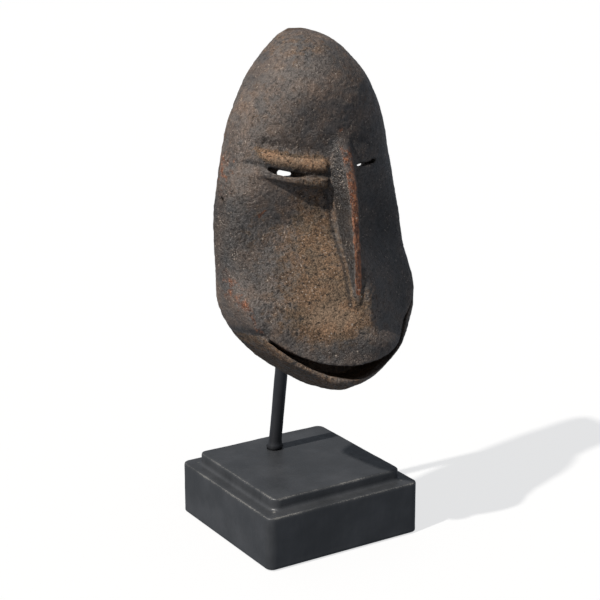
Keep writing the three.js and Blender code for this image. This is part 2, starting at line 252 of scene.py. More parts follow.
def rowAt(values, share):
    row = np.array(values, float)
    last = len(row) - 1
    place = np.clip(np.asarray(share, float), 0, 1) * last
    i = np.clip(np.floor(place).astype(int), 0, last)
    w = place - i
    before, here = row[np.maximum(i - 1, 0)], row[i]
    after, next2 = row[np.minimum(i + 1, last)], row[np.minimum(i + 2, last)]
    slope0, slope1 = (after - before) / 2, (next2 - here) / 2
    cubic = (2 * here - 2 * after + slope0 + slope1) * w**3
    return cubic + (-3 * here + 3 * after - 2 * slope0 - slope1) * w**2 + slope0 * w + here


def rounding(share, power):
    return np.sqrt(np.maximum(0, 1 - np.abs(2 * share - 1) ** power))


def levelOf(height):
    share = height / maskShape["length"]
    halfWidth = rowAt(maskShape["halfWidths"], share) * rounding(share, 4)
    depth = rowAt(maskShape["depths"], share) * rounding(share, 6)
    return halfWidth, depth, rowAt(maskShape["fullness"], share)


# the cheeks are planed flat from an upright edge beside the nose out to the rim,
# and the right plane runs out of the face at its foot, above the corner of the mouth
planes = {
    "edge": 6,
    "rise": 7.4,
    "reach": 0.93,
    "soft": 3,
    "low": (10, 34),
    "high": (92, 124),
    "edgeHigh": (68, 94),
    "footOut": 13,
    "foot": (20, 38),
    "narrowest": 4,
}


def smoothMin(a, b, soft):
    return 0.5 * (a + b - np.sqrt((a - b) ** 2 + soft**2))


# one level's front: rounded, and planed flat on both cheeks
def frontDepth(halfWidth, depth, fullness, x, height):
    p = planes
    across = np.minimum(1, np.abs(x) / halfWidth)
    rounded = depth * (1 - across**fullness) ** (1 / fullness)
    edge = 1 - smoothstep(height, *p["edgeHigh"])
    edgeX, edgeDepth = p["edge"] * edge, depth + p["rise"] * edge
    rimX = p["reach"] * halfWidth
    rimDepth = depth * (1 - p["reach"] ** fullness) ** (1 / fullness)
    left = lerp(rimDepth, edgeDepth, (rimX + x) / (rimX + edgeX))
    right = lerp(rimDepth, edgeDepth, (rimX - x) / np.maximum(p["narrowest"], rimX - edgeX))
    plane = np.minimum(left, right + p["footOut"] * (1 - smoothstep(height, *p["foot"])))
    raised = rounded + p["rise"] * edge * (1 - across**4)
    flat = smoothstep(height, *p["low"]) * (1 - smoothstep(height, *p["high"]))
    return lerp(rounded, smoothMin(raised, plane, p["soft"]), flat * (1 - across**8))


def faceDepth(x, height):
    return frontDepth(*levelOf(height), x, height)


def slitHeight(x):
    e = eyeShape
    curve = np.where(np.asarray(x) < 0, e["curve"], e["rightCurve"])
    climb = curve * np.minimum(np.abs(x), e["curveEnd"]) ** 2
    return e["height"] + climb + e["rightRise"] * smoothstep(x, 0, 12)


def mouthTop(x):
    reach = np.minimum(1, np.abs(x) / mouthShape["corner"]) ** mouthShape["upperCurve"]
    rise = mouthShape["rightRise"] * np.maximum(0, x)
    return rise + lerp(mouthShape["upperLip"], mouthShape["cornerHeight"], reach)


def mouthBottom(x):
    reach = np.minimum(1, np.abs(x) / mouthShape["corner"]) ** mouthShape["lowerCurve"]
    rise = mouthShape["rightRise"] * np.maximum(0, x)
    return rise + lerp(mouthShape["lowerLip"], mouthShape["cornerHeight"] - mouthShape["cornerGap"], reach)


# carving of the face: how far each form stands out or is sunk, in millimetres
reliefShape = {
    "browSunk": 1.2,
    "browAbove": 13,
    "browSpread": 3.6,
    "upperLid": 2.4,
    "upperAbove": 6,
    "lowerLid": 3.7,
    "lidDrop": 5.2,
    "lidThinShare": 0.62,
    "rightShare": 0.15,  # the lids are lower on the viewer's right
    "cheekSunk": 1.3,
    "lipSwell": 14,
    "lipRightShare": 0.25,
    "lipFade": (-20, 6),
}


def eyeRelief(x, aboveSlit):
    r = reliefShape
    side = np.abs(x)
    reach = smoothstep(side, 3, 10) * (1 - smoothstep(side, 34, 48))
    reach = reach * lerp(1, r["rightShare"], smoothstep(x, -3, 3))
    ledge = 1 - smoothstep(aboveSlit, -1.2, 0.8)
    ledge = ledge * smoothstep(aboveSlit, -r["lidDrop"] - 0.8, -r["lidDrop"] + 0.8)
    thick = lerp(1, r["lidThinShare"], smoothstep(side, 14, 38))
    brow = -r["browSunk"] * bell(aboveSlit - r["browAbove"], r["browSpread"])
    upper = r["upperLid"] * bell(aboveSlit - r["upperAbove"], 4)
    return reach * (brow + upper + r["lowerLid"] * ledge * thick)


def relief(x, height):
    r = reliefShape
    side = np.abs(x)
    aboveSlit = height - slitHeight(x)
    underLid = 1 - smoothstep(aboveSlit, -r["lidDrop"] - 1.4, -r["lidDrop"])
    besideNose = 1 - smoothstep(side, 12, 42)
    cheek = -r["cheekSunk"] * besideNose * underLid * smoothstep(height, 62, 100)
    underMouth = smoothstep(mouthBottom(x) - height, -2, 9) * smoothstep(height, 0.5, 4)
    lip = r["lipSwell"] * underMouth * lerp(1, r["lipRightShare"], smoothstep(x, *r["lipFade"]))
    return eyeRelief(x, aboveSlit) + cheek + lip


def maskToWorld(x, out, height):
    lean = math.radians(maskShape["leanBack"])
    chin = maskShape["chin"]
    across = np.asarray(x, float) + chin[0]
    forward = chin[1] + height * math.sin(lean) - out * math.cos(lean)
    up = chin[2] + height * math.cos(lean) + out * math.sin(lean)
    return np.stack([across, forward, up], axis=-1) * mm


def worldToMask(points):
    lean = math.radians(maskShape["leanBack"])
    chin = maskShape["chin"]
    p = points / mm
    y, z = p[:, 1] - chin[1], p[:, 2] - chin[2]
    out = -y * math.cos(lean) + z * math.sin(lean)
    height = y * math.sin(lean) + z * math.cos(lean)
    return p[:, 0] - chin[0], out, height


# x of places evenly spaced along the rounded front of one level
def frontOf(halfWidth, fullness, depth, columns):
    angle = np.linspace(0, math.pi, 241)
    x = -np.sign(np.cos(angle)) * halfWidth * np.abs(np.cos(angle)) ** (2 / fullness)
    out = depth * np.sin(angle) ** (2 / fullness)
    along = np.concatenate([[0], np.cumsum(np.hypot(np.diff(x), np.diff(out)))])
    return np.interp(np.linspace(0, along[-1], columns), along, x)


# a closed skin through loops with the same number of points: a drum whose rings are put in place
def loft(loops):
    rows, count = len(loops), len(loops[0])
    bm = bmesh.new()
    bmesh.ops.create_cone(bm, cap_ends=True, segments=count, radius1=1, radius2=1, depth=1)
    upright = [edge for edge in bm.edges if abs(edge.verts[0].co.z - edge.verts[1].co.z) > 0.5]
    bmesh.ops.subdivide_edges(bm, edges=upright, cuts=rows - 2, use_grid_fill=True)
    for vert in bm.verts:
        column = round(math.atan2(vert.co.y, vert.co.x) / (2 * math.pi) * count) % count
        row = round((vert.co.z + 0.5) * (rows - 1))
        vert.co = loops[row][column]
    for cap in [face for face in bm.faces if len(face.verts) > 4]:
        bmesh.ops.poke(bm, faces=[cap])
    bmesh.ops.recalc_face_normals(bm, faces=bm.faces)
    if bm.calc_volume(signed=True) < 0:
        bmesh.ops.reverse_faces(bm, faces=bm.faces)
    return bm


# one level of the face: inner edge of the rim, the front, and the other edge of the rim
def faceLoop(height):
    s = maskShape
    halfWidth, depth, fullness = levelOf(height)
    x = frontOf(halfWidth, fullness, depth, s["columns"])
    bevel = min(s["rimBevel"], 0.3 * halfWidth)
    out = bevel + (1 - bevel / depth) * faceDepth(x, height)
    out = out + relief(x, np.full_like(x, height)) * smoothstep(out / depth, 0.1, 0.5)
    x = np.concatenate([[x[0] + bevel], x, [x[-1] - bevel]])
    return maskToWorld(x, np.concatenate([[0], out, [0]]), height)


def faceBody():
    s = maskShape
    share = 0.5 - 0.5 * np.cos(np.linspace(0, math.pi, s["rows"]))
    even = np.linspace(0, 1, s["rows"])
    heights = lerp(s["firstRow"], s["length"] - s["firstRow"], 0.35 * share + 0.65 * even)
    return addPiece("mask_blank", loft([faceLoop(height) for height in heights]))


def noseBody():
    columns = [np.array(column) for column in zip(*noseStations)]
    loops = []
    for share in np.linspace(1, 0, 90):
        h, top, foot, crest, middle = (float(rowAt(column, share)) for column in columns)
        skin = float(faceDepth(middle, h) + relief(np.array([middle]), np.array([h]))[0])
        flank = [(foot + 1.2, skin - 6), (foot, min(skin, top) - 0.5)]
        flank += [(lerp(foot, crest, 0.62), lerp(min(skin, top), top, 0.6) - 0.3), (crest, top - 1)]
        flank += [(0.7 * crest, top - 0.3), (0.25 * crest, top)]
        places = [(middle - x, out) for x, out in flank] + [(middle + x, out) for x, out in reversed(flank)]
        loops.append([maskToWorld(x, out, h) for x, out in places])
    return addPiece("nose_blank", loft(loops))


def hollowCutter():
    s = maskShape
    behind, rounds, endGap = 6, 90, 0.35
    loops = []
    for k in range(rounds + 1):
        share = 0.5 - 0.5 * math.cos(math.pi * (k + endGap) / (rounds + 2 * endGap))
        height = lerp(s["chinWall"], s["length"] - s["wall"], share)
        outside = height / s["length"]
        halfWidth = float(rowAt(s["halfWidths"], outside) - s["wall"]) * float(rounding(share, 4))
        depth = float(rowAt(s["depths"], outside) - s["wall"]) * float(rounding(share, 6))
        fullness = float(rowAt(s["fullness"], outside))
        x = frontOf(halfWidth, fullness, depth, s["hollowColumns"])
        out = lerp(s["rimFlare"], depth, frontDepth(halfWidth, depth, fullness, x, height) / depth)
        x = np.concatenate([[-halfWidth - s["rimFlare"]], x, [halfWidth + s["rimFlare"]]])
        loops.append(maskToWorld(x, np.concatenate([[-behind], out, [-behind]]), height))
    return addPiece("hollow", loft(loops))


def mouthCutter():
    m = mouthShape
    stops, ahead = 60, 15
    loops = []
    for k in range(stops + 1):
        share = math.sin(0.5 * math.pi * lerp(-0.99, 0.99, k / stops))
        x = m["corner"] * share
        top, bottom = float(mouthTop(x)), float(mouthBottom(x))
        out = float(faceDepth(x, 0.5 * (top + bottom)))
        inside = out - lerp(m["depthAtMiddle"], m["depthAtCorner"], abs(share) ** 3)
        corners = ((inside, bottom), (inside, top), (out + ahead, top), (out + ahead, bottom))
        loops.append([maskToWorld(x, d, h) for d, h in corners])
    return addPiece("mouth", loft(loops))


# a cutter for one slit: through the wall only along its open stretch, with a level floor there
def eyeCutter(side, slit, opened, level):
    places, halves = (np.array(column) for column in zip(*slit))
    low, high = opened
    wall, ahead, stops, thinnest = maskShape["wall"], 8, 61, 0.15
    loops = []
    for share in np.linspace(0, 1, stops):
        across, half = float(rowAt(places, share)), max(thinnest, float(rowAt(halves, share)))
        x = side * across
        height = float(slitHeight(x))
        skin = float(faceDepth(x, height))
        through = float(smoothstep(across, low - 1, low) * (1 - smoothstep(across, high, high + 1)))
        inside = skin - lerp(eyeShape["blindDepth"], 2 * wall, through)
        front, top = height - half, height + half
        floor = lerp(height - 1.2 * half, level + (level - front) * wall / (wall + ahead), through)
        corners = ((inside, floor), (inside, top), (skin + ahead, top), (skin + ahead, front))
        loops.append([maskToWorld(x, d, h) for d, h in corners])
    return addPiece("eye", loft(loops))


# one hole right across, through the wall beside the rim at both temples
cordHole = {"diameter": 2.6, "height": 110, "out": 7.5, "length": 180, "sides": 24}


def cordHoleCutter():
    c = cordHole
    turn = Matrix.Rotation(math.pi / 2, 3, "Y")
    centre = maskToWorld(0, c["out"], c["height"])
    return roundCutter("cord_hole", c["diameter"] / 2 * mm, c["length"] * mm, turn, centre, c["sides"])


# rod: the CAD part's own route, in millimetres
rodShape = {
    "diameter": 7.5,
    "foot": (-1.5, 24, 38),
    "holeDepth": 22,
    "leanForward": 9,
    "bendHeight": 183,
    "bendRadius": 20,
    "bendAngle": 71,
    "tipLength": 23.5,
    "collarDiameter": 12.5,
    "collarFade": 1.5,  # how fast the collar thins upwards
    "levelUntil": (6, 30),  # the rings turn square to the rod between these heights
    "lump": (7, 0.13),  # size and height of the paint's unevenness
    "steps": (110, 24, 18),  # rings up the straight, round the bend and along the tip
    "sides": 32,
    "fit": 0.3,
}


def rodPlace(along, forward):
    lean = math.radians(rodShape["leanForward"])
    up = Vector((0, -math.sin(lean), math.cos(lean)))
    ahead = Vector((0, -math.cos(lean), -math.sin(lean)))
    return (Vector(rodShape["foot"]) + up * along + ahead * forward) * mm


def rodStops():
    r = rodShape
    bend = math.radians(r["bendAngle"])
    straight = (r["bendHeight"] - r["foot"][2]) / math.cos(math.radians(r["leanForward"]))
    radius = r["bendRadius"]
    endAlong, endAhead = straight + radius * math.sin(bend), radius * (1 - math.cos(bend))
    tip = rodPlace(endAlong + r["tipLength"] * math.cos(bend), endAhead + r["tipLength"] * math.sin(bend))
    corner = rodPlace(straight + radius * math.tan(bend / 2), 0)
    bottom = rodPlace(r["fit"] - r["holeDepth"], 0)
    return bottom, rodPlace(straight, 0), corner, rodPlace(endAlong, endAhead), tip


def rodSeatCutter():
    *_, bendEnd, tip = rodStops()
    along = (tip - bendEnd).normalized()
    radius = (rodShape["diameter"] / 2 + rodShape["fit"]) * mm
    length = rodShape["tipLength"] * mm
    turn = along.to_track_quat("Z", "Y").to_matrix()
    return roundCutter("rod_seat", radius, length, turn, tip + along * (rodShape["fit"] * mm - length / 2))


# the nose grows out of the brow with no edge round its root
noseRoot = {"middle": 3, "reach": 15, "outside": 25, "heights": (127, 152), "rounds": 14}


def smoothRoot(piece):
    n = noseRoot
    bm = bmesh.new()
    bm.from_mesh(piece.data)
    x, out, height = worldToMask(pointsOf(piece.data))
    low, high = n["heights"]
    around = (np.abs(x - n["middle"]) < n["reach"]) & (out > n["outside"]) & (height > low) & (height < high)
    bm.verts.ensure_lookup_table()
    chosen = [bm.verts[int(k)] for k in np.nonzero(around)[0]]
    for _ in range(n["rounds"]):
        bmesh.ops.smooth_vert(bm, verts=chosen, factor=0.5, use_axis_x=True, use_axis_y=True, use_axis_z=True)
    bm.to_mesh(piece.data)
    bm.free()


def carveMask():
    piece = faceBody()
    combine(piece, [hollowCutter()])
    combine(piece, [noseBody()], "UNION")
    leftEye = eyeCutter(-1, leftSlit, eyeShape["leftOpen"], eyeShape["leftFloor"])
    rightEye = eyeCutter(1, rightSlit, eyeShape["rightOpen"], eyeShape["rightFloor"])
    combine(piece, [leftEye, rightEye, mouthCutter(), cordHoleCutter(), rodSeatCutter()])
    remesh(piece, maskShape["voxel"] * mm)
    smoothRoot(piece)
    print("mask carved:", len(piece.data.vertices), "points")
    return piece


mask = carveMask()
mask.name = "mask_carving"


# distance from places on the face to a line scratched or cut across it, x and height in millimetres
def lineDistance(x, height, route):
    nearest = np.full(len(x), 1e6)
    for (x0, h0), (x1, h1) in zip(route, route[1:]):
        dx, dh = x1 - x0, h1 - h0
        share = np.clip(((x - x0) * dx + (height - h0) * dh) / (dx * dx + dh * dh), 0, 1)
        nearest = np.minimum(nearest, np.hypot(x - x0 - share * dx, height - h0 - share * dh))
    return nearest


# how near a place is to the outer skin: 1 on the face, 0 on the walls of the hollow
def outerShare(x, out, height):
    halfWidth, depth, fullness = levelOf(np.clip(height, 2, maskShape["length"] - 2))
    reach = (np.abs(x) / halfWidth) ** fullness + (np.maximum(out, 0) / depth) ** fullness
    behind = frontDepth(halfWidth, depth, fullness, x, height) - out
    return np.maximum(smoothstep(reach, 0.72, 0.88), 1 - smoothstep(behind, 3, 5))


carving = {
    # size and height of the knife's unevenness, of the crust, and of the tool marks inside
    "broad": (16, 0.4),
    "fine": (5, 0.16),
    "crust": (1.9, 0.16),
    "facets": (13, 0.75),
    "facetLevel": 0.45,
    "facetStretch": (1, 1, 0.6),
}

cracks = (
    # route in x and height, width, depth
    (((-40.5, 157), (-41.5, 154)), 0.7, 0.4),
    (((-36.5, 140), (-37.5, 137), (-40, 134.5)), 0.9, 0.7),
)


def sculptMask(piece):
    mesh = piece.data
    points, normals = pointsOf(mesh), normalsOf(mesh)
    x, out, height = worldToMask(points)
    places = np.stack([x, out, height], axis=1)
    outer = outerShare(x, out, height)
    size, rise = carving["broad"]
    lift = rise * noiseAt(places, size, 1)
    size, rise = carving["fine"]
    lift += rise * noiseAt(places, size, 2, 2)
    size, rise = carving["crust"]
    lift += outer * rise * noiseAt(places, size, 3, 2)
    size, rise = carving["facets"]
    cells = cellsAt(places * np.array(carving["facetStretch"]), size, 4)
    lift += (1 - outer) * rise * (cells - carving["facetLevel"])
    for route, width, depth in cracks:
        lift -= outer * depth * bell(lineDistance(x, height, route), width)
    setPoints(mesh, points + normals * lift[:, None] * mm)
    print("mask sculpted")


def thin(piece, triangles):
    count = sum(len(face.vertices) - 2 for face in piece.data.polygons)
    modifier = piece.modifiers.new("thin", "DECIMATE")
    modifier.ratio = min(1, triangles / count)
    applyModifiers(piece)


sculptMask(mask)
thin(mask, maskShape["triangles"])
shadeSmooth(mask.data)


# rod: rings along the route, level at the foot and square to the rod from there up
def rodPiece():
    r = rodShape
    bottom, bendStart, corner, bendEnd, tip = rodStops()
    straightSteps, bendSteps, tipSteps = r["steps"]
    turns = [k / bendSteps for k in range(bendSteps + 1)]
    bend = [bendStart * (1 - t) ** 2 + corner * 2 * t * (1 - t) + bendEnd * t**2 for t in turns]
    route = [bottom.lerp(bendStart, k / straightSteps) for k in range(straightSteps)] + bend
    route += [bendEnd.lerp(tip, (k + 1) / tipSteps) for k in range(tipSteps)]
    top = r["foot"][2] + r["fit"]
    collar = 0.5 * (r["collarDiameter"] - r["diameter"])
    lumpSize, lumpHeight = r["lump"]
    side = Vector((1, 0, 0))
    loops = []
    for k, centre in enumerate(route):
        tangent = (route[min(k + 1, len(route) - 1)] - route[max(k - 1, 0)]).normalized()
        above = centre.z / mm - top
        tangent = Vector((0, 0, 1)).lerp(tangent, float(smoothstep(above, *r["levelUntil"]))).normalized()
        ahead = tangent.cross(side).normalized()
        flare = 0
        if above >= -0.1:
            flare = collar * math.exp(-max(0, above) / r["collarFade"])
        loop = []
        for n in range(r["sides"]):
            angle = 2 * math.pi * n / r["sides"]
            ray = side * math.cos(angle) + ahead * math.sin(angle)
            lump = noise.noise((centre / mm + ray * 3) / lumpSize) * lumpHeight
            loop.append(centre + ray * (r["diameter"] / 2 + flare + lump) * mm)
        loops.append(loop)
    return addPiece("rod_painted", loft(loops))


rod = rodPiece()
print("rod made")


# base: two rounded slabs in one block, drilled for the rod
baseShape = {
    "side": 100,
    "plinthHeight": 31,
    "height": 38,
    "stepInset": 7.5,
    "cornerRadius": 4.5,
    "edgeRound": 1.1,
    "overlap": 6,  # how far the step reaches down into the plinth
    "voxel": 0.85,
    "waves": (28, 0.22),  # size and height of the paint's unevenness
    "ripples": (6, 0.07),
    "sunk": 0.12,  # how far the whole skin is set in
    "rubReach": 1.1,
    "rubbed": 0.75,
}


def slab(side, bottom, top, radius):
    bm = bmesh.new()
    bmesh.ops.create_cube(bm, size=1)
    bmesh.ops.scale(bm, vec=(side * mm, side * mm, (top - bottom) * mm), verts=bm.verts)
    bmesh.ops.translate(bm, vec=(0, 0, (top + bottom) / 2 * mm), verts=bm.verts)
    upright = [edge for edge in bm.edges if abs(edge.verts[0].co.z - edge.verts[1].co.z) > mm]
    bmesh.ops.bevel(
        bm, geom=upright, offset=radius * mm, affect="EDGES", segments=8, profile=0.5, material=-1
    )
    level = [edge for edge in bm.edges if abs(edge.verts[0].co.z - edge.verts[1].co.z) < 0.1 * mm]
    edgeRound = baseShape["edgeRound"] * mm
    bmesh.ops.bevel(bm, geom=level, offset=edgeRound, affect="EDGES", segments=3, profile=0.5, material=-1)
    return bm


def rodHoleCutter():
    r = rodShape
    length = 60
    turn = Matrix.Rotation(math.radians(r["leanForward"]), 3, "X")
    centre = rodPlace(length / 2 - r["holeDepth"], 0)
    return roundCutter("hole", (r["diameter"] / 2 + r["fit"]) * mm, length * mm, turn, centre)


def basePiece():
    b = baseShape
    block = addPiece("base_painted", slab(b["side"], 0, b["plinthHeight"], b["cornerRadius"]))
    inner = b["side"] - 2 * b["stepInset"]
    step = slab(inner, b["plinthHeight"] - b["overlap"], b["height"], b["cornerRadius"])
    combine(block, [addPiece("step", step)], "UNION")
    combine(block, [rodHoleCutter()])
    remesh(block, b["voxel"] * mm)
    mesh = block.data
    points, normals = pointsOf(mesh), normalsOf(mesh)
    places = points / mm
    (waveSize, wave), (rippleSize, ripple) = b["waves"], b["ripples"]
    lift = wave * noiseAt(places, waveSize, 6) + ripple * noiseAt(places, rippleSize, 7) - b["sunk"]
    lift *= smoothstep(places[:, 2], 0.5, 4)  # the underside stays flat
    setPoints(mesh, points + normals * lift[:, None] * mm)
    return block


base = basePiece()
print("base made")


# materials
def newMaterial(name):
    material = bpy.data.materials.new(name)
    material.use_nodes = True
    nodes, links = material.node_tree.nodes, material.node_tree.links
    nodes.clear()
    output = nodes.new("ShaderNodeOutputMaterial")
    shader = nodes.new("ShaderNodeBsdfPrincipled")
    links.new(shader.outputs[0], output.inputs[0])
    return material, links, shader


def addNode(material, kind, sockets, **options):
    made = material.node_tree.nodes.new(kind)
    for key, value in options.items():
        setattr(made, key, value)
    for key, value in sockets.items():
        if isinstance(value, bpy.types.NodeSocket):
            material.node_tree.links.new(value, made.inputs[key])
        else:
            made.inputs[key].default_value = value
    return made


def noiseNode(material, where, scale, detail, roughness=0.55):
    sockets = {"Vector": where, "Scale": scale, "Detail": detail, "Roughness": roughness}
    return addNode(material, "ShaderNodeTexNoise", sockets).outputs[0]


def mathNode(material, operation, a, b=0.5):
    return addNode(material, "ShaderNodeMath", {0: a, 1: b}, operation=operation).outputs[0]


# a value brought from one range to another, held at its ends
def rangeNode(material, value, low, high, start=0, end=1):
    sockets = {"Value": value, "From Min": low, "From Max": high, "To Min": start, "To Max": end}
    return addNode(material, "ShaderNodeMapRange", sockets, interpolation_type="SMOOTHSTEP").outputs[0]


def mixNode(material, share, first, second, blend="MIX"):
    sockets = {0: share, 6: first, 7: second}
    return addNode(material, "ShaderNodeMix", sockets, data_type="RGBA", blend_type=blend).outputs[2]


def attributeNode(material, name):
    return addNode(material, "ShaderNodeAttribute", {}, attribute_name=name).outputs["Fac"]


# where the wood is dusty, sooty or worn, and where shade is painted on it: x, height, reach across, reach up,
# amount
dustPlaces = (
    (-12, 86, 13, 34, 0.75),
    (-14, 45, 20, 14, 0.8),
    (-30, 62, 17, 26, 0.35),
    (-30, 92, 13, 20, 0.15),
    (-45, 95, 7, 12, 0.2),
    (-6, 56, 12, 16, 0.4),
    (-12, 188, 20, 10, 0.3),
    (-40, 158, 12, 18, 0.15),
    (20, 166, 14, 20, 0.15),
)
paleMuzzle = ((-14, 44, 16, 10, 0.2),)
sootAndShadePlaces = (
    (-56, 104, 7, 30, 0.8),
    (-50, 78, 8, 18, 0.3),
    # darker low on the muzzle, above the mouth
    (-12, 25, 26, 6, 0.7),
    (-34, 70, 16, 28, 0.3),
    # the underside of the brow: partly its own dark colour, partly painted shade
    (-20, 139, 22, 5, 0.3),
    # painted shade over the right side of the face, which is turned away from the sun
    (42, 90, 32, 60, 1),
    # painted shade above the right eye, beside the nose's root
    (14, 136, 9, 9, 0.5),
    # painted shade deepening the left corner of the mouth
    (-48.6, 40.6, 5, 2.4, 1.2),
    # painted shade in the crack at the left end of the brow
    (-36.3, 139.1, 5, 3, 0.7),
)
wornPlaces = (
    (-3.7, 166.5, 5, 3.4, 0.42),
    (2.7, 141.7, 2.6, 2, 0.5),
    (-55.5, 64, 3.5, 12, 0.6),
    (-53, 136, 5, 24, 0.75),
    (-14, 25, 3, 2.2, 0.4),
)
scratches = (
    # route, width, how worn
    (((-54.4, 56.5), (-52, 49.5), (-48.6, 41)), 1.6, 0.6),
    (((-40.5, 100.4), (-37, 103.2)), 0.9, 1),
)


def dabs(x, height, places):
    total = np.zeros(len(x))
    for x0, height0, across, up, amount in places:
        total += amount * np.exp(-(((x - x0) / across) ** 2) - ((height - height0) / up) ** 2)
    return total


def paintMask(piece):
    mesh = piece.data
    x, out, height = worldToMask(pointsOf(mesh))
    outer = outerShare(x, out, height)
    height = np.clip(height, 2, maskShape["length"] - 2)
    above = height - slitHeight(x)
    stops, *rows = (np.array(column)[::-1] for column in zip(*noseStations))
    ridge, foot, crest, middle = (np.interp(height, stops, row) for row in rows)
    onNose = smoothstep(out - faceDepth(x, height), 0.8, 2.6) * (np.abs(x - middle) < foot + 2.5)
    onNose = onNose * (height < 150) * (height > 46)
    lipShare = smoothstep(mouthBottom(x) - height, -1, 1)

    # dust on the cheek, the lids and the lower lip
    lidBand = bell(above - 7, 4.4) * smoothstep(x, -46, -36) * (1 - smoothstep(x, -9, -4))
    lowerLid = bell(above + 3, 2.4) * smoothstep(x, -44, -34) * (1 - smoothstep(x, -8, -3))
    dust = np.minimum(dabs(x, height, dustPlaces), 0.8) + 1.15 * lidBand + 0.3 * lowerLid
    dust += 0.5 * lipShare * (1 - smoothstep(x, -6, 16)) + dabs(x, height, paleMuzzle)
    dust *= 1 - 0.95 * onNose

    # soot and painted shade from the places above, painted shade on the upper lid's underside, a dark line
    # along the foot of the nose and the nose's dark left flank
    soot_and_shade = dabs(x, height, sootAndShadePlaces) * (1 - 0.8 * lipShare)
    # painted shade on the underside of the upper lid, where it rounds into the slit
    soot_and_shade += 0.9 * bell(above - 1.5, 1.6) * (x < 0) * (x > -46)
    soot_and_shade += 0.8 * bell(x - middle + foot + 1.3, 1) * (height > 50) * (height < 112)
    soot_and_shade += onNose * (1 - smoothstep(x - middle, -crest - 0.6, -crest + 0.5))

    # bare wood along the ridge and in the scratches
    strip = onNose * smoothstep(x - middle, -crest - 0.4, -crest + 0.6) * smoothstep(out - ridge, -3.2, -1.4)
    strip *= smoothstep(height, 51, 58) * (1 - smoothstep(height, 130, 140))
    worn = dabs(x, height, wornPlaces) + strip * lerp(1, 0.72, smoothstep(height, 96, 128))
    for route, width, amount in scratches:
        worn += amount * bell(lineDistance(x, height, route), width)
    paintAttribute(mesh, "dust", dust * outer)
    paintAttribute(mesh, "soot_and_shade", soot_and_shade * outer)
    paintAttribute(mesh, "worn", worn * outer)
    paintAttribute(mesh, "outer", outer)
    print("mask painted")


woodColours = {
    "wood": ((0.09, 0.08, 0.074, 1), (0.165, 0.133, 0.111, 1)),
    "dust": ((0.1, 0.066, 0.041, 1), (0.215, 0.145, 0.09, 1)),
    "palest": (0.4, 0.268, 0.172, 1),
    # near black, for soot and for painted shade
    "soot_and_shade": (0.018, 0.0175, 0.018, 1),
    "bare": ((0.09, 0.04, 0.024, 1), (0.28, 0.12, 0.06, 1)),
    "pit": (0.012, 0.01, 0.009, 1),
    "flake": (0.4, 0.33, 0.27, 1),
    "tint": ((0.92, 0.93, 0.95, 1), (1.12, 1.0, 0.92, 1)),
    "inside": ((0.06, 0.036, 0.021, 1), (0.14, 0.085, 0.048, 1)),
}


# how fine each pattern is: its scale, detail and roughness
woodPatterns = {
    "cloud": (60, 4),
    "patch": (130, 4),
    "mottle": (260, 6, 0.68),
    "crumb": (620, 5, 0.66),
    "speck": (1350, 3, 0.7),
    "flake": (900, 2, 0.5),
}
woodGrain = {"stretch": (1, 1, 0.14), "pattern": (900, 4, 0.6)}


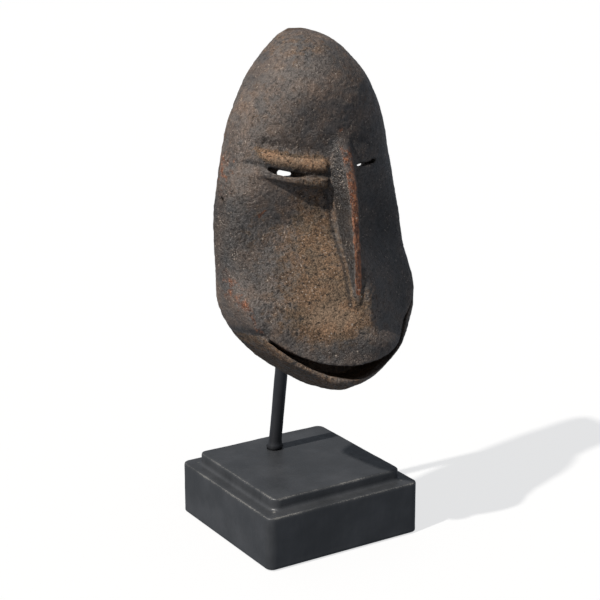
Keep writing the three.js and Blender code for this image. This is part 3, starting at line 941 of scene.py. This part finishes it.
def woodMaterial():
    material, links, shader = newMaterial("mask_wood")
    where = addNode(material, "ShaderNodeTexCoord", {}).outputs["Object"]
    patterns = [noiseNode(material, where, *values) for values in woodPatterns.values()]
    cloud, patch, mottle, crumb, speck, flake = patterns
    stretched = {"Vector": where, "Scale": woodGrain["stretch"]}
    along = addNode(material, "ShaderNodeMapping", stretched).outputs[0]
    grain = noiseNode(material, along, *woodGrain["pattern"])

    # the dark wood, with a dry tan crust over it that is palest on the upper lid, then soot and painted shade
    # over both
    c = woodColours
    dust = attributeNode(material, "dust")
    uneven = mathNode(material, "MULTIPLY", mathNode(material, "SUBTRACT", mottle), 1.9)
    dark = mixNode(material, rangeNode(material, cloud, 0.3, 0.7), *c["wood"])
    dusty = rangeNode(material, mathNode(material, "ADD", dust, uneven), 0.12, 0.78)
    tan = mixNode(material, rangeNode(material, speck, 0.34, 0.66), *c["dust"])
    tan = mixNode(material, rangeNode(material, dust, 0.82, 1, 0, 0.5), tan, c["palest"])
    colour = mixNode(material, dusty, dark, tan)
    # darkened towards near black by soot and by the painted shade that the attribute carries
    soot_and_shade = mathNode(material, "ADD", attributeNode(material, "soot_and_shade"), uneven)
    soot_and_shade = rangeNode(material, soot_and_shade, -0.1, 1.15, 0, 0.82)
    colour = mixNode(material, soot_and_shade, colour, c["soot_and_shade"])

    # worn to bare orange wood
    worn = mathNode(material, "ADD", attributeNode(material, "worn"), uneven)
    worn = rangeNode(material, worn, 0.42, 0.86)
    bare = mixNode(material, rangeNode(material, grain, 0.38, 0.62), *c["bare"])
    colour = mixNode(material, worn, colour, bare)

    # grit: light and dark from grain to grain, black pits and a few pale specks
    fineGrit = rangeNode(material, speck, 0.32, 0.68, 0.66, 1.36)
    coarseGrit = rangeNode(material, crumb, 0.34, 0.66, 0.78, 1.24)
    grit = mathNode(material, "MULTIPLY", fineGrit, coarseGrit)
    colour = mixNode(material, 1, colour, grit, "MULTIPLY")
    tint = mixNode(material, rangeNode(material, patch, 0.4, 0.6), *c["tint"])
    colour = mixNode(material, 1, colour, tint, "MULTIPLY")
    smallPits = rangeNode(material, crumb, 0.34, 0.42, 1, 0)
    largePits = rangeNode(material, mottle, 0.33, 0.38, 1, 0)
    pit = mathNode(material, "MAXIMUM", smallPits, largePits)
    pit = mathNode(material, "MULTIPLY", pit, rangeNode(material, dust, 0, 0.6, 0.25, 0.75))
    colour = mixNode(material, pit, colour, c["pit"])
    pale = rangeNode(material, flake, 0.64, 0.69)
    pale = mathNode(material, "MULTIPLY", pale, rangeNode(material, patch, 0.42, 0.6))
    colour = mixNode(material, pale, colour, c["flake"])

    # the walls of the hollow are plain bare wood
    inside = mixNode(material, rangeNode(material, grain, 0.3, 0.7), *c["inside"])
    outer = rangeNode(material, attributeNode(material, "outer"), 0.15, 0.85)
    colour = mixNode(material, outer, inside, colour)
    links.new(colour, shader.inputs["Base Color"])
    dry = rangeNode(material, mathNode(material, "ADD", dusty, pit), 0, 1, 0.36, 0.88)
    gloss = mathNode(material, "MULTIPLY", worn, 0.08)
    links.new(mathNode(material, "SUBTRACT", dry, gloss), shader.inputs["Roughness"])
    relief = mathNode(material, "ADD", crumb, mathNode(material, "MULTIPLY", speck, 0.45))
    relief = mathNode(material, "SUBTRACT", relief, mathNode(material, "MULTIPLY", pit, 0.5))
    sockets = {"Height": relief, "Strength": 0.9, "Distance": 0.001}
    links.new(addNode(material, "ShaderNodeBump", sockets).outputs[0], shader.inputs["Normal"])
    return material


# satin black brushed on by hand and rubbed pale where a piece has the attribute for it
def paintMaterial(name, dark, light, edge):
    material, links, shader = newMaterial(name)
    where = addNode(material, "ShaderNodeTexCoord", {}).outputs["Object"]
    cloud = noiseNode(material, where, 38, 5, 0.6)
    streak = addNode(material, "ShaderNodeMapping", {"Vector": where, "Scale": (1, 1, 0.25)}).outputs[0]
    brushed = noiseNode(material, streak, 260, 4, 0.6)
    speck = noiseNode(material, where, 1500, 2)
    brushing = mathNode(material, "MULTIPLY", brushed, 0.4)
    shade = mathNode(material, "ADD", rangeNode(material, cloud, 0.35, 0.7, 0, 0.7), brushing)
    colour = mixNode(material, shade, dark, light)
    broken = mathNode(material, "SUBTRACT", mathNode(material, "ADD", speck, cloud), 1)
    rub = mathNode(material, "ADD", attributeNode(material, "rub"), broken)
    colour = mixNode(material, rangeNode(material, rub, 0.35, 0.9), colour, edge)
    links.new(colour, shader.inputs["Base Color"])
    links.new(rangeNode(material, brushed, 0.3, 0.7, 0.36, 0.5), shader.inputs["Roughness"])
    relief = mathNode(material, "ADD", brushed, mathNode(material, "MULTIPLY", speck, 0.3))
    sockets = {"Height": relief, "Strength": 0.4, "Distance": 0.0003}
    links.new(addNode(material, "ShaderNodeBump", sockets).outputs[0], shader.inputs["Normal"])
    return material


# the block is rubbed along its edges: where two of its faces meet
def rubEdges(piece):
    b = baseShape
    x, y, z = np.abs(pointsOf(piece.data).T) / mm
    rub = np.zeros(len(x))
    for half, top in ((b["side"] / 2, b["plinthHeight"]), (b["side"] / 2 - b["stepInset"], b["height"])):
        nearX, nearY, nearTop = (bell(gap, b["rubReach"]) for gap in (half - x, half - y, top - z))
        rub = np.maximum(rub, np.maximum(nearX * nearY, np.maximum(nearX, nearY) * nearTop))
    paintAttribute(piece.data, "rub", b["rubbed"] * rub)


paintColours = {
    # dark, light and rubbed
    "rod_paint": ((0.018, 0.019, 0.022, 1), (0.032, 0.033, 0.038, 1), (0.09, 0.09, 0.09, 1)),
    "base_paint": ((0.031, 0.033, 0.036, 1), (0.058, 0.06, 0.065, 1), (0.26, 0.25, 0.23, 1)),
}

paintMask(mask)
rubEdges(base)
mask.data.materials.append(woodMaterial())
rod.data.materials.append(paintMaterial("rod_paint", *paintColours["rod_paint"]))
base.data.materials.append(paintMaterial("base_paint", *paintColours["base_paint"]))
print("materials made")


# floor and light
floorSet = {"radius": 9, "sides": 64, "below": 0.0004, "grey": 0.25, "glow": 0.72}


def makeFloor():
    f = floorSet
    bm = bmesh.new()
    bmesh.ops.create_circle(bm, cap_ends=True, radius=f["radius"], segments=f["sides"])
    bmesh.ops.translate(bm, vec=(0, 0, -f["below"]), verts=bm.verts)
    bmesh.ops.recalc_face_normals(bm, faces=bm.faces)
    material, _, shader = newMaterial("pale_floor")
    shader.inputs["Base Color"].default_value = (f["grey"], f["grey"], f["grey"], 1)
    shader.inputs["Roughness"].default_value = 1
    shader.inputs["Specular IOR Level"].default_value = 0
    shader.inputs["Emission Color"].default_value = (1, 1, 1, 1)
    shader.inputs["Emission Strength"].default_value = f["glow"]
    floor = addPiece("floor", bm)
    floor.data.materials.append(material)
    floor.visible_diffuse = False
    floor.visible_glossy = False


lightSet = {
    "toward": (-0.66, -0.105, 0.743),  # where the sun stands
    "energy": 4,
    "angle": 1.5,  # in degrees: the wider, the softer the shadows
    "colour": (1, 0.965, 0.91),
    "sky": (0.8, 0.88, 1, 1),
    "skyStrength": 0.25,
}


def makeLights():
    data = bpy.data.lights.new("sun", "SUN")
    data.energy = lightSet["energy"]
    data.angle = math.radians(lightSet["angle"])
    data.color = lightSet["colour"]
    sun = bpy.data.objects.new("sun", data)
    sun.rotation_mode = "QUATERNION"
    sun.rotation_quaternion = Vector(lightSet["toward"]).to_track_quat("Z", "Y")
    bpy.context.scene.collection.objects.link(sun)
    world = bpy.data.worlds.new("world")
    world.use_nodes = True
    background = world.node_tree.nodes["Background"]
    background.inputs["Color"].default_value = lightSet["sky"]
    background.inputs["Strength"].default_value = lightSet["skyStrength"]
    bpy.context.scene.world = world


makeFloor()
makeLights()
bpy.context.scene.view_settings.view_transform = "Standard"
print("floor and lights made")

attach(mask, "root")
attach(rod, "root")
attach(base, "root")
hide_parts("mask")
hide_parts("stand_rod")
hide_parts("stand_base")
